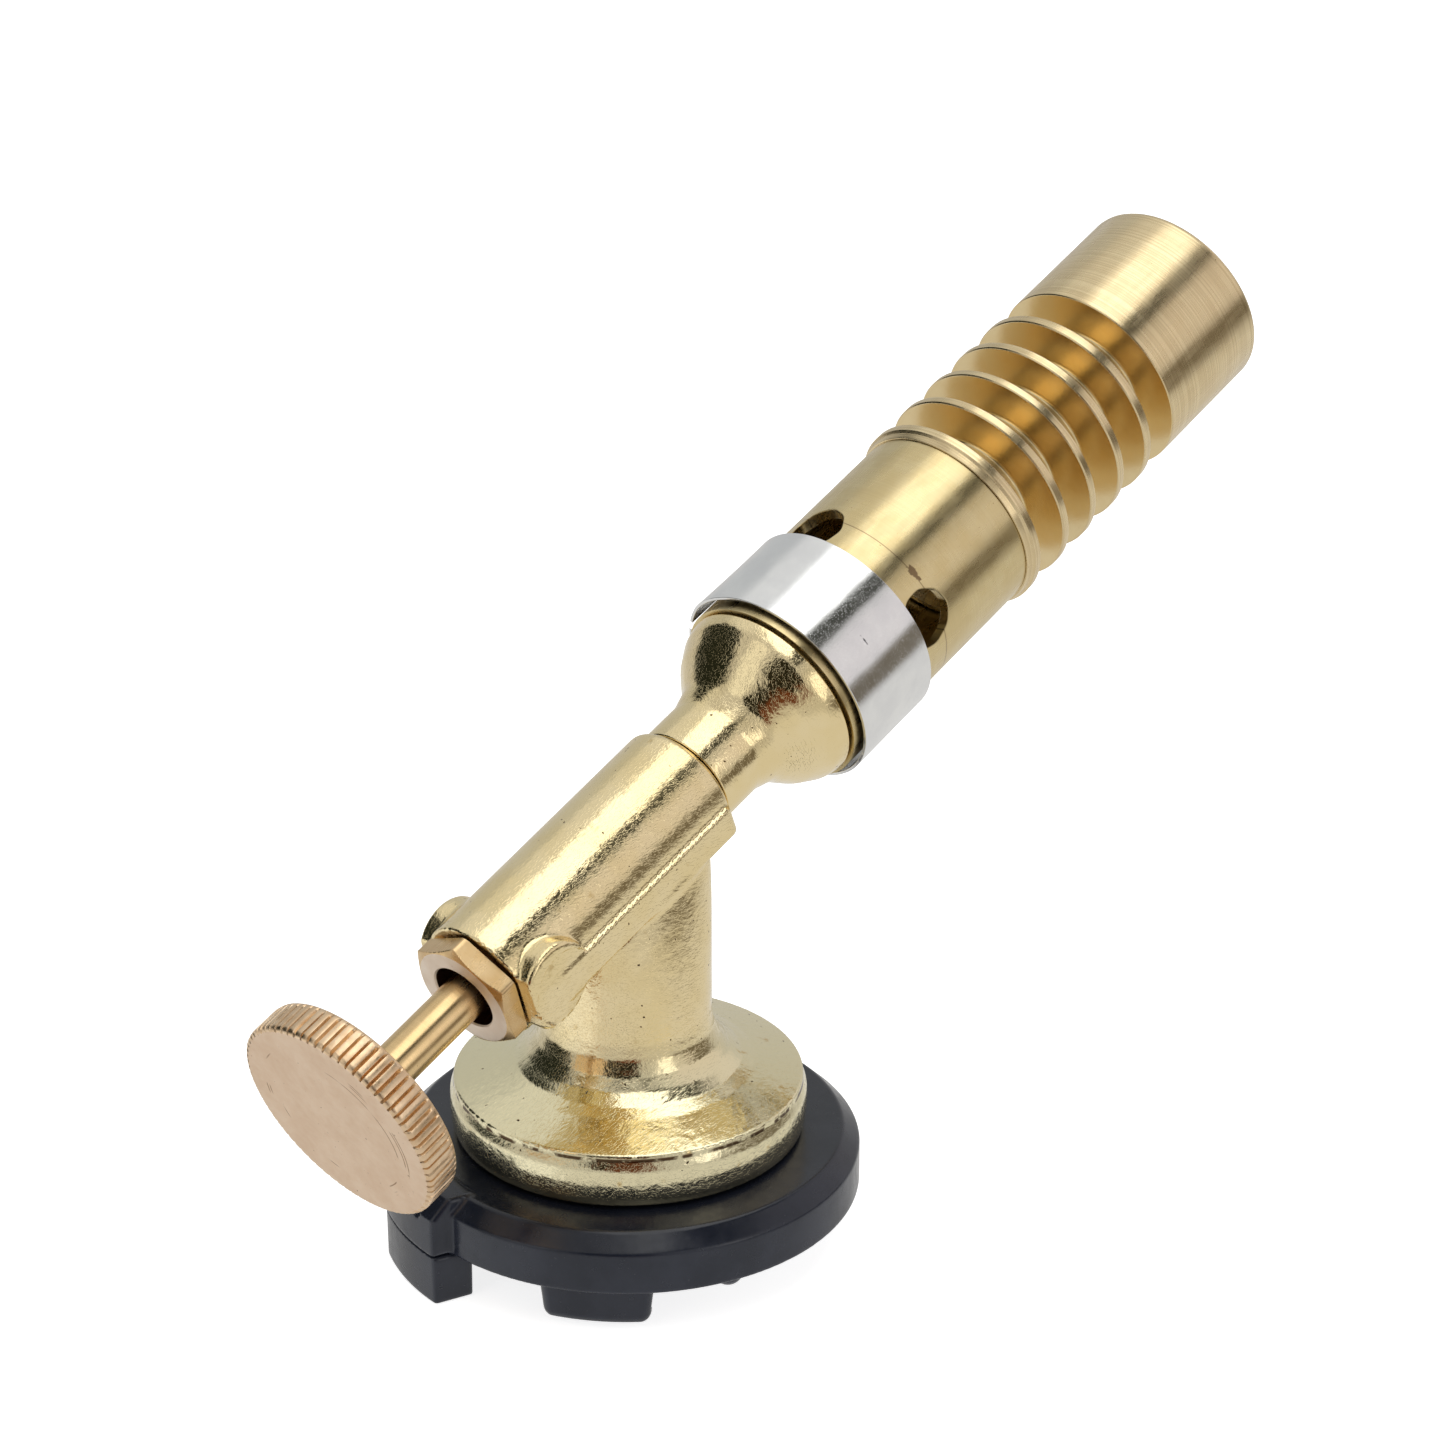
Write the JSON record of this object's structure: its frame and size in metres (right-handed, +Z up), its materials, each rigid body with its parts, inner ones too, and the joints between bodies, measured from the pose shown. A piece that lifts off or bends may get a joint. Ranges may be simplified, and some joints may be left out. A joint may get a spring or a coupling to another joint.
{
  "type": "butane torch head",
  "caption": "Gas torch head: finned brass burner nozzle on an inclined air tube with a sliding air band, gold valve body, knurled control knob and black clip-on base.",
  "frame": {"origin": "on the stem's axis, in the plane of the claw plate's flat underside, where the cartridge seats", "axes": "+Z up along the stem, +X towards the burner nozzle, which rises from the stem, +Y completes the right-handed frame"},
  "size_m": [0.1387, 0.048, 0.0894],
  "materials": {
    "valve_body": "pale gold plating over a casting, orange-peel texture, glossy",
    "mixer_bell": "pale gold plating, orange-peel texture, glossy",
    "gas_jet": "machined",
    "air_tube": "satin turned brass",
    "burner_nozzle": "turned brass with fine lathe lines",
    "flame_holder": "dull brass",
    "air_band": "brushed bright sheet",
    "gland_nut": "bare machined brass",
    "gland_packing": "white fluoropolymer",
    "valve_spindle": "satin machined brass",
    "spindle_o_ring": "black rubber",
    "control_knob": "matte rose-tinted brass with a straight knurl",
    "base_cover": "blue-black satin moulding",
    "claw_plate": "blue-black satin moulding",
    "base_screw": "zinc-plated screw",
    "inlet_fitting": "machined",
    "inlet_seal": "black rubber",
    "inlet_filter": "sintered metal"
  },
  "bodies": {
    "torch_body": {"valve_body": "valve_body", "mixer_bell": "mixer_bell", "gas_jet": "gas_jet", "air_tube": "air_tube", "burner_nozzle": "burner_nozzle", "flame_holder": "flame_holder", "gland_nut": "gland_nut", "gland_packing": "gland_packing", "base_cover": "base_cover", "claw_plate": "claw_plate", "base_screw_1": "base_screw", "base_screw_2": "base_screw", "base_screw_3": "base_screw", "inlet_fitting": "inlet_fitting", "inlet_seal": "inlet_seal", "inlet_filter": "inlet_filter"},
    "packing_ring": {"spindle_o_ring": "spindle_o_ring"},
    "spindle": {"valve_spindle": "valve_spindle", "control_knob": "control_knob"},
    "band": {"air_band": "air_band"}
  },
  "joints": [
    {"name": "valve_travel", "type": "slide", "parent": "torch_body", "child": "packing_ring", "axis": [-0.9333, 0, -0.3592], "range_m": [0, 0.0015]},
    {"name": "knob_turn", "type": "hinge", "parent": "packing_ring", "child": "spindle", "pos_m": [0, 0, 0.03915], "axis": [-0.9333, 0, -0.3592], "range_deg": [0, 540]},
    {"name": "air_band_slide", "type": "slide", "parent": "torch_body", "child": "band", "axis": [0.9333, 0, 0.3592], "range_m": [-0.0009, 0.0065]}
  ],
  "couplings": [
    {"joint": "knob_turn", "follows": "valve_travel", "rad_per_m": 6283.2}
  ]
}
